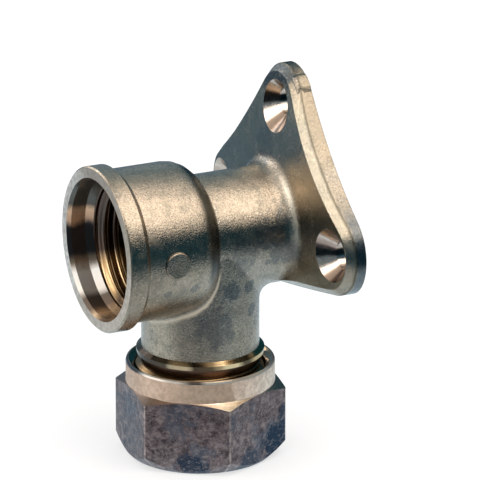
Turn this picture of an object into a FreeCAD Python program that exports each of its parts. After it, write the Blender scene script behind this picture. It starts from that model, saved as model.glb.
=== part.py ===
import FreeCAD, Part
import math
import os

# Wall plate elbow: a 15 mm compression by G 1/2 female elbow on a three-lobed wall plate.
# Millimetres. The origin is on the socket's axis, on the plate's flat back face.
# +Z is up, +Y points into the wall, the socket's mouth faces -Y and the branch points -Z.

Vector = FreeCAD.Vector
ORIGIN = Vector(0, 0, 0)
X_AXIS = Vector(1, 0, 0)
Y_AXIS = Vector(0, 1, 0)
Z_AXIS = Vector(0, 0, 1)
OVERCUT = 1.0
RIGHT_ANGLE = 90.0
FULL_TURN = 360.0
HEXAGON_SIDES = 6
HEXAGON_STEP = FULL_TURN / HEXAGON_SIDES
ARC_STEPS = 4

# Centres and reaches
MOUTH_REACH = 34.75
BRANCH_OFFSET = 16.75
BRANCH_DROP = 18.25

# Pipe socket inside the spigot, for 15 mm copper pipe
PIPE_SOCKET_R = 7.55
PIPE_STOP_DEPTH = 11.5
PIPE_STOP_LEDGE = 1.55
WATERWAY_R = PIPE_SOCKET_R - PIPE_STOP_LEDGE
DRILL_HALF_ANGLE = 59.0

# Machined band and spigot; its G 1/2 thread is drawn as a plain cylinder below the crests
SPIGOT_WALL = 1.95
SPIGOT_R = PIPE_SOCKET_R + SPIGOT_WALL
SPIGOT_LENGTH = 12.6
SPIGOT_EDGE_BREAK = 0.5
BAND_STEP = 0.7
BAND_R = SPIGOT_R + BAND_STEP
BAND_RISE = 0.5
BAND_LENGTH = 1.15

# Coned mouth of the spigot, which the olive closes
SEAT_LIP = 0.1
SEAT_MOUTH_R = SPIGOT_R - SPIGOT_EDGE_BREAK - SEAT_LIP
SEAT_HALF_ANGLE = 30.0

# Olive
OLIVE_BORE_CLEARANCE = 0.05
OLIVE_BORE_R = PIPE_SOCKET_R + OLIVE_BORE_CLEARANCE
OLIVE_END_WALL = 0.4
OLIVE_END_R = OLIVE_BORE_R + OLIVE_END_WALL
OLIVE_CROWN = 0.7
OLIVE_R = OLIVE_END_R + OLIVE_CROWN
OLIVE_BAND_LENGTH = 2.4
SEAT_CLEARANCE = 0.06

# Socket, inside: counterbore, lead-in and G 1/2 thread drawn as a plain bore at the thread's root
OUTLET_THREAD_R = 10.48
OUTLET_THREAD_LENGTH = 10.0
OUTLET_LEAD_LENGTH = 1.2
COUNTERBORE_STEP = 0.65
COUNTERBORE_R = OUTLET_THREAD_R + COUNTERBORE_STEP
COUNTERBORE_DEPTH = 3.1
MOUTH_EDGE_BREAK = 0.15

# Socket, outside
SOCKET_WALL = 1.82
SOCKET_R = OUTLET_THREAD_R + SOCKET_WALL
BEAD_HEIGHT = 0.95
BEAD_R = SOCKET_R + BEAD_HEIGHT
BEAD_EDGE_BREAK = 0.25
BEAD_LENGTH = 2.8
BEAD_RUNOUT = 0.9
SHOULDER_START = 12.8
SHOULDER_LENGTH = 4.25

# Ejector pip on the socket's side
PIP_R = 2.1
PIP_SETBACK = 8.4
PIP_HEIGHT = 0.3
PIP_EDGE_BREAK = 0.12

# Neck and branch
BRANCH_R = 9.4
NECK_STEP = 0.08
NECK_R = BRANCH_R + NECK_STEP
ELBOW_FILLET = 2.4
PLATE_FILLET = 2.5

# Wall plate
SIDE_HOLE_X = 20.1
SIDE_HOLE_Z = 0.4
TOP_HOLE_Z = 19.85
SCREW_HOLE_R = 2.3
COUNTERSINK_R = 4.2
COUNTERSINK_HALF_ANGLE = 45.0
SIDE_HOLE_OVERHANG = 1.9
SIDE_LOBE_R = 6.9
TOP_HOLE_OVERHANG = 0.8
TOP_LOBE_R = 6.95
HUB_LAND = 0.17
HUB_R = NECK_R + HUB_LAND
FLANK_R = 66.0
PLATE_THICKNESS = 4.76
DOME_R = 160.0
PLATE_EDGE_CHAMFER = 1.15

# Nut
NUT_ACROSS_FLATS = 24.0
NUT_CORNER_ROUND = 0.8
NUT_TURN = -5.5
NUT_GAP = 1.3
NUT_TOP_DROP = BRANCH_DROP + BAND_LENGTH + NUT_GAP
NUT_FLOOR = 2.15
COLLAR_INSET = 0.1
COLLAR_R = NUT_ACROSS_FLATS / 2 - COLLAR_INSET
COLLAR_LENGTH = 3.6
COLLAR_EDGE_BREAK = 0.3
NUT_TOP_CHAMFER = 25.0
NUT_BASE_CHAMFER = 45.0
NUT_BASE_INSET = 0.5
NUT_BASE_R = NUT_ACROSS_FLATS / 2 - NUT_BASE_INSET
NUT_LEAD_LAND = 0.2
NUT_LEAD_R = COLLAR_R - COLLAR_EDGE_BREAK - NUT_LEAD_LAND
NUT_LEAD_ANGLE = 45.0
THREAD_CLEARANCE = 0.08
PIPE_HOLE_CLEARANCE = 0.2
NUT_PIPE_HOLE_R = PIPE_SOCKET_R + PIPE_HOLE_CLEARANCE
NUT_HOLE_EDGE_BREAK = 0.4
NUT_SEAT_HALF_ANGLE = 45.0


def tan(degrees):
    return math.tan(math.radians(degrees))


def polar(centre, radius, degrees):
    """Point of a circle in the X-Z plane, its angle counted from +X towards +Z."""
    angle = math.radians(degrees)
    return Vector(centre.x + radius * math.cos(angle), 0, centre.z + radius * math.sin(angle))


def polygon_edges(points):
    return [Part.LineSegment(a, b).toShape() for a, b in zip(points, points[1:])]


def revolve_edges(edges, base, axis):
    face = Part.Face(Part.Wire(Part.__sortEdges__(edges)))
    return face.revolve(base, axis, FULL_TURN)


def revolve_about_y(points):
    """Solid of revolution about the socket's axis from a closed list of (radius, y)."""
    corners = [Vector(radius, y, 0) for radius, y in points + points[:1]]
    return revolve_edges(polygon_edges(corners), ORIGIN, Y_AXIS)


def arc_profile(centre, radius, first, last):
    """Points (radius, y) of an arc in conical steps, its angles counted from +radius towards +y."""
    angles = [first + (last - first) * step / ARC_STEPS for step in range(ARC_STEPS + 1)]
    return [(centre[0] + radius * math.cos(angle), centre[1] + radius * math.sin(angle)) for angle in angles]


def revolve_about_branch(points):
    """Solid of revolution about the branch's axis from a closed list of (radius, z)."""
    corners = [Vector(radius, -BRANCH_OFFSET, z) for radius, z in points + points[:1]]
    return revolve_edges(polygon_edges(corners), Vector(0, -BRANCH_OFFSET, 0), Z_AXIS)


# Socket
def socket_outside():
    """Beaded mouth, plain barrel and rounded back shoulder, revolved about the socket's axis."""
    mouth = -MOUTH_REACH
    bead_end = mouth + BEAD_LENGTH
    shoulder = mouth + SHOULDER_START
    shoulder_end = shoulder + SHOULDER_LENGTH
    drop = SOCKET_R - NECK_R

    # The shoulder is an arc in conical steps, tangent to the barrel, which ends on the neck
    shoulder_r = (SHOULDER_LENGTH ** 2 + drop ** 2) / (2 * drop)
    shoulder_turn = math.atan2(SHOULDER_LENGTH, shoulder_r - drop)
    arc = arc_profile((SOCKET_R - shoulder_r, shoulder), shoulder_r, 0, shoulder_turn)

    return revolve_about_y([
        (0, shoulder_end),
        (0, mouth),
        (BEAD_R - BEAD_EDGE_BREAK, mouth),
        (BEAD_R, mouth + BEAD_EDGE_BREAK),
        (BEAD_R, bead_end),
        (SOCKET_R, bead_end + BEAD_RUNOUT),
    ] + arc)


def ejector_pip():
    """Low flat disc which the forging die's ejector left on the socket's +X side."""
    root = SOCKET_R - PIP_R
    centre = Vector(root, PIP_SETBACK - MOUTH_REACH, 0)
    pip = Part.makeCylinder(PIP_R, SOCKET_R + PIP_HEIGHT - root, centre, X_AXIS)
    rim = [edge for edge in pip.Edges if edge.BoundBox.XMin > SOCKET_R]
    return pip.makeChamfer(PIP_EDGE_BREAK, rim)


def socket_hollow():
    """Counterbore, lead-in, threaded bore and the waterway behind it."""
    mouth = -MOUTH_REACH
    counterbore_end = mouth + COUNTERBORE_DEPTH
    thread_start = counterbore_end + OUTLET_LEAD_LENGTH
    thread_end = thread_start + OUTLET_THREAD_LENGTH
    drill_cone = (OUTLET_THREAD_R - WATERWAY_R) / tan(DRILL_HALF_ANGLE)
    waterway_end = -BRANCH_OFFSET + WATERWAY_R
    return revolve_about_y([
        (0, mouth - OVERCUT),
        (COUNTERBORE_R + MOUTH_EDGE_BREAK + OVERCUT, mouth - OVERCUT),
        (COUNTERBORE_R, mouth + MOUTH_EDGE_BREAK),
        (COUNTERBORE_R, counterbore_end),
        (OUTLET_THREAD_R, thread_start),
        (OUTLET_THREAD_R, thread_end),
        (WATERWAY_R, thread_end + drill_cone),
        (WATERWAY_R, waterway_end),
        (0, waterway_end),
    ])


# Wall plate
def tangent_circle(a, radius_a, b, radius_b, radius):
    """Centre of the circle that touches two others from outside, on the side away from the origin."""
    span = b.sub(a)
    distance = span.Length
    reach_a = radius + radius_a
    reach_b = radius + radius_b
    along = (distance ** 2 + reach_a ** 2 - reach_b ** 2) / (2 * distance)
    across = math.sqrt(reach_a ** 2 - along ** 2)
    direction = span.normalize()
    side = Vector(-direction.z, 0, direction.x)
    return a + direction * along + side * across


def toward(start, end, length):
    return start + (end - start).normalize() * length


def plate_outline(inset):
    """Three lobes joined by hollow flanks above and straight edges to the hub below, drawn in by an inset."""
    top_r = TOP_LOBE_R - inset
    side_r = SIDE_LOBE_R - inset
    hub_r = HUB_R - inset
    flank_r = FLANK_R + inset
    top = Vector(0, 0, TOP_HOLE_Z - TOP_HOLE_OVERHANG)
    side = Vector(SIDE_HOLE_X - SIDE_HOLE_OVERHANG, 0, SIDE_HOLE_Z)
    flank = tangent_circle(top, top_r, side, side_r, flank_r)
    top_tangent = toward(top, flank, top_r)
    side_tangent = toward(side, flank, side_r)
    flank_middle = toward(flank, (top_tangent + side_tangent) / 2, flank_r)

    # The lower edge touches the side lobe and the hub from below
    slope = math.atan2(side.z, side.x) + math.asin((hub_r - side_r) / side.Length)
    below = math.degrees(slope) - RIGHT_ANGLE
    side_below = polar(side, side_r, below)
    hub_below = polar(ORIGIN, hub_r, below)
    flank_angle = math.degrees(math.atan2(side_tangent.z - side.z, side_tangent.x - side.x))
    side_tip = polar(side, side_r, (flank_angle + below) / 2)

    def mirrored(point):
        return Vector(-point.x, point.y, point.z)

    edges = [
        Part.Arc(mirrored(top_tangent), polar(top, top_r, RIGHT_ANGLE), top_tangent),
        Part.Arc(mirrored(hub_below), polar(ORIGIN, hub_r, -RIGHT_ANGLE), hub_below),
    ]
    for place in (lambda point: point, mirrored):
        edges += [
            Part.Arc(place(top_tangent), place(flank_middle), place(side_tangent)),
            Part.Arc(place(side_tangent), place(side_tip), place(side_below)),
            Part.LineSegment(place(side_below), place(hub_below)),
        ]
    return Part.Face(Part.Wire(Part.__sortEdges__([edge.toShape() for edge in edges])))


def plate_dome():
    """Ball whose near side is the plate's front face, which falls away from the neck to the lobes."""
    return Part.makeSphere(DOME_R, Vector(0, DOME_R - PLATE_THICKNESS, 0))


def wall_plate():
    """Plate with a flat back, a slightly domed front face and bevelled front edges."""
    slab = plate_outline(0).extrude(Vector(0, -PLATE_THICKNESS, 0))
    plate = slab.common(plate_dome())
    front_edges = [edge for edge in plate.Edges if edge.BoundBox.YMax < -PLATE_EDGE_CHAMFER]
    return plate.makeChamfer(PLATE_EDGE_CHAMFER, front_edges)


def neck_flare():
    """Fillet in conical steps from the neck to the plate's front face, inside the plate's bevelled edge."""
    dome_y = DOME_R - PLATE_THICKNESS
    centre_r = NECK_R + PLATE_FILLET
    centre_y = dome_y - math.sqrt((DOME_R + PLATE_FILLET) ** 2 - centre_r ** 2)
    foot_turn = math.atan2(dome_y - centre_y, centre_r)
    arc = arc_profile((centre_r, centre_y), PLATE_FILLET, math.pi, math.pi - foot_turn)
    neck_y = arc[0][1]
    foot_r = arc[-1][0]
    root_y = -PLATE_THICKNESS / 2
    flare = revolve_about_y(arc + [(foot_r, root_y), (0, root_y), (0, neck_y)])
    return flare.common(plate_outline(PLATE_EDGE_CHAMFER).extrude(Vector(0, centre_y - OVERCUT, 0)))


def front_depth(distance):
    """How far the plate's front face stands off its back at a distance from the socket's axis."""
    return PLATE_THICKNESS - DOME_R + math.sqrt(DOME_R ** 2 - distance ** 2)


def screw_hole(x, z):
    """Countersunk hole through the plate, square to the wall."""
    flare = 2 * COUNTERSINK_R
    throat = front_depth(math.hypot(x, z)) - (COUNTERSINK_R - SCREW_HOLE_R) / tan(COUNTERSINK_HALF_ANGLE)
    flare_depth = (flare - SCREW_HOLE_R) / tan(COUNTERSINK_HALF_ANGLE)
    hole = revolve_about_y([
        (0, OVERCUT),
        (SCREW_HOLE_R, OVERCUT),
        (SCREW_HOLE_R, -throat),
        (flare, -throat - flare_depth),
        (0, -throat - flare_depth),
    ])
    hole.translate(Vector(x, 0, z))
    return hole


# Neck, branch and spigot
def neck():
    start = -BRANCH_OFFSET - BRANCH_R - ELBOW_FILLET - OVERCUT
    return Part.makeCylinder(NECK_R, -start - PLATE_THICKNESS / 2, Vector(0, start, 0), Y_AXIS)


def elbow():
    """Neck and branch, blended where they meet."""
    branch = Part.makeCylinder(BRANCH_R, BRANCH_DROP, Vector(0, -BRANCH_OFFSET, -BRANCH_DROP), Z_AXIS)
    bend = neck().fuse(branch)
    saddle = [edge for edge in bend.Edges
              if edge.BoundBox.ZMin > -NECK_R - OVERCUT and edge.BoundBox.ZMax < 0
              and edge.BoundBox.YLength > BRANCH_R / 2]
    return bend.makeFillet(ELBOW_FILLET, saddle)


def spigot():
    """Machined band under the branch and the spigot on which the nut screws."""
    band_start = -BRANCH_DROP
    band_end = band_start - BAND_LENGTH
    spigot_end = band_start - SPIGOT_LENGTH
    return revolve_about_branch([
        (0, band_start + OVERCUT),
        (BRANCH_R - OVERCUT, band_start + OVERCUT),
        (BRANCH_R - OVERCUT, band_start),
        (BRANCH_R, band_start),
        (BAND_R, band_start - BAND_RISE),
        (BAND_R, band_end),
        (SPIGOT_R, band_end),
        (SPIGOT_R, spigot_end + SPIGOT_EDGE_BREAK),
        (SPIGOT_R - SPIGOT_EDGE_BREAK, spigot_end),
        (0, spigot_end),
    ])


def pipe_hollow():
    """Coned seat for the olive, pipe socket with its stop, and the waterway up to the elbow."""
    spigot_end = -BRANCH_DROP - SPIGOT_LENGTH
    stop = spigot_end + PIPE_STOP_DEPTH
    flare = SEAT_MOUTH_R + OVERCUT * tan(SEAT_HALF_ANGLE)
    return revolve_about_branch([
        (0, spigot_end - OVERCUT),
        (flare, spigot_end - OVERCUT),
        (PIPE_SOCKET_R, spigot_end + (SEAT_MOUTH_R - PIPE_SOCKET_R) / tan(SEAT_HALF_ANGLE)),
        (PIPE_SOCKET_R, stop),
        (WATERWAY_R, stop),
        (WATERWAY_R, 0),
        (0, 0),
    ])


def elbow_body():
    body = elbow()
    for piece in (wall_plate(), neck_flare(), socket_outside(), ejector_pip(), spigot()):
        body = body.fuse(piece)
    hollows = [socket_hollow(), pipe_hollow()]
    hollows += [screw_hole(x, SIDE_HOLE_Z) for x in (-SIDE_HOLE_X, SIDE_HOLE_X)]
    hollows.append(screw_hole(0, TOP_HOLE_Z))
    return body.cut(hollows).Solids[0]


# Nut and olive
def olive_top():
    """Height at which the olive's upper cone lies the seat clearance below the spigot's seat."""
    spigot_end = -BRANCH_DROP - SPIGOT_LENGTH
    seat_at_end = spigot_end + (SEAT_MOUTH_R - OLIVE_END_R) / tan(SEAT_HALF_ANGLE)
    return seat_at_end - SEAT_CLEARANCE / math.sin(math.radians(SEAT_HALF_ANGLE))


def olive_heights():
    """Top, upper shoulder, lower shoulder and foot of the olive."""
    top = olive_top()
    upper = top - (OLIVE_R - OLIVE_END_R) / tan(SEAT_HALF_ANGLE)
    lower = upper - OLIVE_BAND_LENGTH
    foot = lower - (OLIVE_R - OLIVE_END_R) / tan(NUT_SEAT_HALF_ANGLE)
    return top, upper, lower, foot


def olive():
    """Compression ring, coned at both ends to its two seats."""
    top, upper, lower, foot = olive_heights()
    return revolve_about_branch([
        (OLIVE_BORE_R, top),
        (OLIVE_END_R, top),
        (OLIVE_R, upper),
        (OLIVE_R, lower),
        (OLIVE_END_R, foot),
        (OLIVE_BORE_R, foot),
    ])


def nut_seat_height(radius):
    """Height of the nut's coned seat at a radius, the seat clearance below the olive."""
    foot = olive_heights()[3]
    drop = SEAT_CLEARANCE / math.sin(math.radians(NUT_SEAT_HALF_ANGLE))
    return foot - drop + (radius - OLIVE_END_R) / tan(NUT_SEAT_HALF_ANGLE)


def nut_base():
    return nut_seat_height(NUT_PIPE_HOLE_R) - NUT_FLOOR


def nut_blank():
    """Hexagon with a round collar above it and turned chamfers on both ends."""
    top = -NUT_TOP_DROP
    collar_end = top - COLLAR_LENGTH
    base = nut_base()
    corner_r = NUT_ACROSS_FLATS / math.sqrt(3)
    corners = [polar(ORIGIN, corner_r, NUT_TURN + HEXAGON_STEP * step) for step in range(HEXAGON_SIDES + 1)]
    corners = [Vector(point.x, point.z - BRANCH_OFFSET, base) for point in corners]
    prism = Part.Face(Part.Wire(polygon_edges(corners))).extrude(Vector(0, 0, collar_end - base))
    uprights = [edge for edge in prism.Edges if edge.BoundBox.ZLength > NUT_CORNER_ROUND]
    prism = prism.makeFillet(NUT_CORNER_ROUND, uprights)
    reach = 2 * corner_r
    turned = revolve_about_branch([
        (0, collar_end),
        (COLLAR_R, collar_end),
        (reach, collar_end - (reach - COLLAR_R) * tan(NUT_TOP_CHAMFER)),
        (reach, base + (reach - NUT_BASE_R) * tan(NUT_BASE_CHAMFER)),
        (NUT_BASE_R, base),
        (0, base),
    ])
    collar = revolve_about_branch([
        (0, top),
        (COLLAR_R - COLLAR_EDGE_BREAK, top),
        (COLLAR_R, top - COLLAR_EDGE_BREAK),
        (COLLAR_R, collar_end),
        (COLLAR_R - OVERCUT, collar_end - OVERCUT),
        (0, collar_end - OVERCUT),
    ])
    return prism.common(turned).fuse(collar)


def nut_hollow():
    """Lead-in, threaded bore as a plain cylinder, coned seat for the olive and the pipe's hole."""
    top = -NUT_TOP_DROP
    base = nut_base()
    bore_r = SPIGOT_R + THREAD_CLEARANCE
    return revolve_about_branch([
        (0, top + OVERCUT),
        (NUT_LEAD_R + OVERCUT * tan(NUT_LEAD_ANGLE), top + OVERCUT),
        (bore_r, top - (NUT_LEAD_R - bore_r) / tan(NUT_LEAD_ANGLE)),
        (bore_r, nut_seat_height(bore_r)),
        (NUT_PIPE_HOLE_R, nut_seat_height(NUT_PIPE_HOLE_R)),
        (NUT_PIPE_HOLE_R, base + NUT_HOLE_EDGE_BREAK),
        (NUT_PIPE_HOLE_R + NUT_HOLE_EDGE_BREAK + OVERCUT, base - OVERCUT),
        (0, base - OVERCUT),
    ])


def compression_nut():
    return nut_blank().cut(nut_hollow()).Solids[0]


def main():
    os.makedirs("parts", exist_ok=True)
    pieces = {
        "elbow_body": elbow_body(),
        "compression_nut": compression_nut(),
        "olive": olive(),
    }
    for name, shape in pieces.items():
        shape.exportStep("parts/" + name + ".step")
        print(name, "solids", len(shape.Solids), "valid", shape.isValid(), "volume", round(shape.Volume, 1))


main()
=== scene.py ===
import math

import bmesh
import bpy
import numpy as np
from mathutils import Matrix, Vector
from mathutils.bvhtree import BVHTree
from mathutils.geometry import barycentric_transform


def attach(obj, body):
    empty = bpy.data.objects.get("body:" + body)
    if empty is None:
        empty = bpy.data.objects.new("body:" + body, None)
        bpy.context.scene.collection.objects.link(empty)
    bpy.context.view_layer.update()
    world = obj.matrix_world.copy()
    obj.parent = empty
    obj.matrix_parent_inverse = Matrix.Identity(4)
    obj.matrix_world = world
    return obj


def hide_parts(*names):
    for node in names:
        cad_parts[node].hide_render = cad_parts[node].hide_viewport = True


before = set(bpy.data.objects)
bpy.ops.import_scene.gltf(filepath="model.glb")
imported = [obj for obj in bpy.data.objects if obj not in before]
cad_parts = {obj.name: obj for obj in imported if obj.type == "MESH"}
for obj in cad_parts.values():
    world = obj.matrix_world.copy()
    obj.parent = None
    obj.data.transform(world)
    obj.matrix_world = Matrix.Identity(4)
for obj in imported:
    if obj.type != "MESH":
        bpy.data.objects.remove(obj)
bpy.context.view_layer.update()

MM = 0.001
FULL_TURN = 2.0 * math.pi

# Sizes of the solids, in millimetres, in the row frame
MOUTH_Y = -34.75
COUNTERBORE_R = 11.13
COUNTERBORE_DEPTH = 3.1
THREAD_Y = (-30.45, -20.45)
OUTLET_ROOT_R = 10.48
SOCKET_R = 12.3
SHOULDER_Y = -21.95
SHOULDER_LENGTH = 4.25
SHOULDER_ARC_R = 4.61
BRANCH_Y = -16.75
BRANCH_END_Z = -18.25
BAND_END_Z = -19.40
SPIGOT_END_Z = -30.85
SPIGOT_ROOT_R = 9.5
HOLES = ((20.1, 0.4), (-20.1, 0.4), (0.0, 19.85))
SCREW_HOLE_R = 2.3
COUNTERSINK_R = 4.2
PLATE_THICKNESS = 4.76
DOME_R = 160.0
EDGE_CHAMFER = 1.15
TOP_LOBE_R = 6.95
TOP_LOBE_Z = 19.05
NUT_TOP_Z = -20.70
COLLAR_END_Z = -24.30
COLLAR_R = 11.9
NUT_FLATS = 24.0
NUT_TURN_DEGREES = -5.5
NUT_CORNER_ROUND = 0.8
NUT_BASE_R = 11.5
NUT_LEAD_R = 11.4
NUT_PIPE_R = 7.75
NUT_SEAT_TOP_Z = -32.23
NUT_SEAT_END_Z = -34.06
NUT_CHAMFER_SLOPE = math.tan(math.radians(25.0))
# The nut's lower end, on which the fitting stands
FLOOR_Z = -36.208

# Threads, which the solids leave plain, in millimetres
PITCH = 1.814
THREAD_FLAT = 0.10
THREAD_LIFT = 0.02
THREAD_BACKING = 0.2
THREAD_FADE = 0.3 * PITCH
THREAD_COLUMNS = 120
THREAD_ROWS_A_TURN = 14
THREAD_CREASE_DEGREES = 60.0
OUTLET_CREST_R = 9.32
SPIGOT_CREST_R = 10.35
SPIGOT_LEAD = 0.5
SPIGOT_RUNOUT = 1.5
NUT_BORE_ROOT_R = 10.55
NUT_BORE_CREST_R = 9.62
NUT_THREAD_START = 0.10
NUT_THREAD_FADE = 0.6 * PITCH
NUT_THREAD_ROWS = 72
NUT_THREAD_PHASE = 0.5

# Fine re-cut of the holes and the mouth, a hair larger than the solid's, in millimetres
RECUT = 0.02
LATHE_COLUMNS = 128
BACK_OVERCUT = 0.5
FRONT_OVERCUT = 2.0
MOUTH_OVERCUT = 1.0
MOUTH_BEVEL_WIDTH = 0.30
MOUTH_BEVEL_DEPTH = 0.68
LEAD_OVERLAP = 0.3

# Telling the body's faces apart: places in millimetres, then shares of a normal
EDGE_SLACK = 0.02
THREAD_SLACK = 0.01
HOLE_REACH = 5.4
MOUTH_MARGIN = 0.1
MOUTH_REACH = COUNTERBORE_R + MOUTH_BEVEL_WIDTH + MOUTH_MARGIN
WATERWAY_REACH = 7.0
BRANCH_WALL = 3.0
FACING_FRONT = -0.9
LEANING_FRONT = -0.3
CONE_LEAN = -0.4
WALL_LEAN = 0.5
INWARD = -0.01
HOLE_INWARD = -0.5
MOUTH_INWARD = -0.3
SHARED_COSINE = 0.999
STEP_COSINE = math.cos(math.radians(26.0))
WELD_M = 2e-6
NORMAL_DIGITS = 3

# Fold of metal on the top lobe's side wall: arc in degrees, the rest in millimetres, rises as slopes
LAP_ARC = (34.0, 62.0)
LAP_STEPS = 12
LAP_HEIGHT = 0.22
LAP_LIFT = 0.02
LAP_ROOT = 0.4
LAP_EDGE_BREAK = 0.3
LAP_BACK_Y = -0.05
LAP_FRONT_Y = (-1.35, -2.15, -2.4)
LAP_RISE = 4.0
LAP_FALL = 7.0
# Slits in the top lobe's edge: two ends, outward direction, half width and depth in millimetres
NICK_LIFT = 0.15
NICKS = (
    ((3.2, -2.73, 24.1), (4.95, -2.05, 23.5), (0.45, -0.66, 0.60), 0.22, 0.70),
    ((5.75, -1.75, 23.45), (6.55, -0.45, 22.15), (0.82, 0.0, 0.57), 0.22, 0.70),
)

# Skin of the nut: points round it, small edges in millimetres, and rows as shares of each face
HALF_SIDE_DEGREES = 30.0
SIDES = 6
CORNER_POINTS = 6
FLAT_STEPS = 16
SIDE_POINTS = CORNER_POINTS + FLAT_STEPS - 1
RUBBED_POINTS = (CORNER_POINTS // 2 - 1, CORNER_POINTS // 2)
LEAD_EDGE_IN = 0.05
LEAD_EDGE_OUT = 0.06
RIM_ROUND = 0.40
RIM_ROUND_MIDDLE = 0.12
COLLAR_FOOT = 0.12
CHAMFER_START = (0.03, 0.02)
CHAMFER_SHARES = (0.15, 0.5, 0.85, 0.97)
FLAT_SHARES = (0.0, 0.012, 0.05, 0.2, 0.35, 0.5, 0.65, 0.8, 0.95, 0.988, 1.0)
BASE_SHARES = (0.1, 0.5, 0.9)
BASE_EDGE = 0.05
PIPE_EDGE_BREAK = 0.45
PIPE_EDGE_END = (0.05, 0.38)
SEAT_EDGE = 0.04
SEAT_STEP = 0.05
NUT_CREASE_DEGREES = 34.0

# The photograph's camera: azimuth, elevation, distance and picture scale at the origin
CAMERA_AZIMUTH = math.radians(64.2)
CAMERA_ELEVATION = math.radians(19.25)
CAMERA_DISTANCE = 1000.0
PIXELS_PER_MM = 6.29
PICTURE_SIZE = 480.0
ORIGIN_PIXEL = (295.16, 218.54)
SENSOR_MM = 36.0

# Stage: lamps as name, direction, size in millimetres, watts and colour
WORLD_STRENGTH = 1.0
LAMP_DISTANCE = 600.0
LAMP_AIM = (0.0, BRANCH_Y, -5.0)
LAMPS = (
    ("top_softbox", (0.42, 0.22, 0.88), (520.0, 620.0), 1.65, (1.0, 0.95, 0.89)),
    ("front_softbox", (0.02, -0.80, 0.58), (300.0, 260.0), 0.60, (1.0, 0.97, 0.93)),
    ("mouth_softbox", (0.35, -0.90, 0.25), (170.0, 170.0), 0.30, (1.0, 0.96, 0.91)),
    ("left_softbox", (-0.86, -0.36, 0.40), (200.0, 180.0), 0.40, (1.0, 1.0, 1.0)),
)
# Upright cards as name, radius, two compass directions, two elevations and colour
WALL_CARD_STEPS = 24
WALL_CARDS = (
    ("right_flag", 82.0, (-80.0, 150.0), (-40.0, 32.0), (0.008, 0.056, 0.092)),
    ("left_low_flag", 100.0, (150.0, 232.0), (-40.0, 12.0), (0.12, 0.20, 0.28)),
    ("left_high_flag", 220.0, (100.0, 185.0), (10.0, 55.0), (0.27, 0.39, 0.47)),
)
# Cards on the floor as name, two radii, two compass directions, depth under the nut and colour
FLOOR_CARD_STEPS = 48
FLOOR_CARDS = (
    ("table_flag", (0.0, 219.0), (0.0, 360.0), 0.012, (0.72, 0.88, 1.00)),
    ("front_table_flag", (22.0, 219.0), (-75.0, 15.0), 0.006, (0.50, 0.56, 0.63)),
)
FLOOR_HALF = 3000.0
FLOOR_GAP = 0.02
FLOOR_COLOUR = (0.9, 0.9, 0.9)
FLOOR_ROUGHNESS = 0.9
FLOOR_GLOW = 0.6

# Colours of the forging
BLACK = (0.0, 0.0, 0.0)
WHITE = (1.0, 1.0, 1.0)
FORGED_TONES = ((0.30, (0.36, 0.31, 0.25)), (0.55, (0.45, 0.36, 0.26)), (0.75, (0.53, 0.41, 0.30)))
BROAD_STAIN = (0.17, 0.16, 0.14)
FINE_STAIN = (0.22, 0.19, 0.14)
# tarnish colour, also laid on as painted shade where reflections run dark
TARNISH_AND_SHADE = (0.10, 0.115, 0.12)
DARK_SPECK = (0.15, 0.14, 0.12)
BRIGHT_GRAIN = (0.74, 0.66, 0.54)
# painted highlight on the plate's bevel
PAINTED_BEVEL_HIGHLIGHT = (0.62, 0.54, 0.40)
# painted shade along the chamfer's outer edge
PAINTED_EDGE_SHADE = (0.14, 0.12, 0.08)
# painted shade, a dark reflection, on the right lobe's side wall
PAINTED_LOBE_SHADE = (0.10, 0.13, 0.15)
# painted shade, darker towards the top of the side wall
PAINTED_UPPER_SHADE = (0.30, 0.24, 0.16)
SHOULDER_SHADE = (0.06, 0.065, 0.06)
# painted highlight along the line where the shoulder meets the branch
PAINTED_SEAM_HIGHLIGHT = (0.62, 0.55, 0.43)
# painted highlight on the fillet between the neck and the plate
PAINTED_FLARE_HIGHLIGHT = (0.88, 0.79, 0.64)
# painted shade in narrow creases
PAINTED_CREASE_SHADE = (0.06, 0.055, 0.05)
# Zones of the forging in millimetres: from, to and softness, or where a rise starts and ends
RAGGED = 0.35
BEVEL_ZONE = (-EDGE_CHAMFER - 0.1, -0.05, 0.12)
BEVEL_RISE_Z = (23.0, 20.5)
EDGE_SHADE_ZONE = (-0.30, 0.30, 0.28)
LOBE_SIDE_RISE = (0.0, 0.4)
LOBE_RISE_X = (16.0, 20.0)
LOBE_RISE_Z = (9.5, 6.0)
UPPER_SIDE_RISE = (0.0, 0.3)
UPPER_RISE_Z = (11.5, 16.0)
SHADE_ZONE_Y = (-20.9, -17.5, 0.8)
SHADE_ZONE_R = (9.5, 12.25, 0.1)
SHADE_RISE_Z = (-6.0, -2.0)
SEAM_ZONE = (0.02, 1.10, 0.45)
SEAM_ZONE_Y = (-26.5, -17.4, 0.4)
SEAM_RISE_Z = (-2.5, -4.0)
FLARE_ZONE_R = (9.7, 11.9, 0.8)
FLARE_ZONE_Y = (-7.2, -4.3, 0.5)
FLARE_ZONE_Z = (-1.5, 9.9, 2.5)
CREASE_REACH = 0.6
SOFT_EDGE = 0.15
NODE_SAMPLES = 6
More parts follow.
